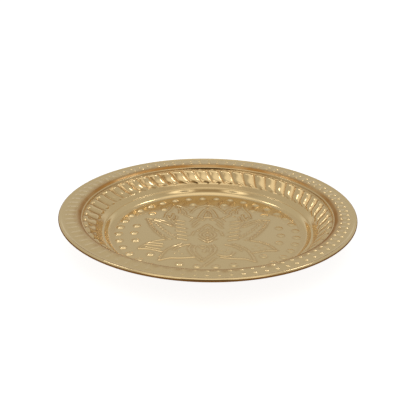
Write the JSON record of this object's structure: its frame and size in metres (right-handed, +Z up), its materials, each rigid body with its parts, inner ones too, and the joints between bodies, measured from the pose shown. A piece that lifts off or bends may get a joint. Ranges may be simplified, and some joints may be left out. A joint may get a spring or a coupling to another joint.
{
  "type": "brass tray",
  "caption": "Round shallow brass tray with a wired rolled edge, a flat rim, a leaning-fluted wall and a flat floor inside a moulded step.",
  "frame": {"origin": "centre of the underside of the floor, in the plane that the tray rests on", "axes": "+Z up along the tray's axis, out of its open side; the tray is round, and +Y is the side that the pattern on its floor points to"},
  "size_m": [0.25, 0.25, 0.0235],
  "materials": {
    "polished_brass": "polished, with light tarnish in the hollows",
    "drawn_wire": "drawn, unpolished"
  },
  "bodies": {
    "root": {"tray_pan": "polished_brass", "edge_wire": "drawn_wire"}
  },
  "joints": []
}
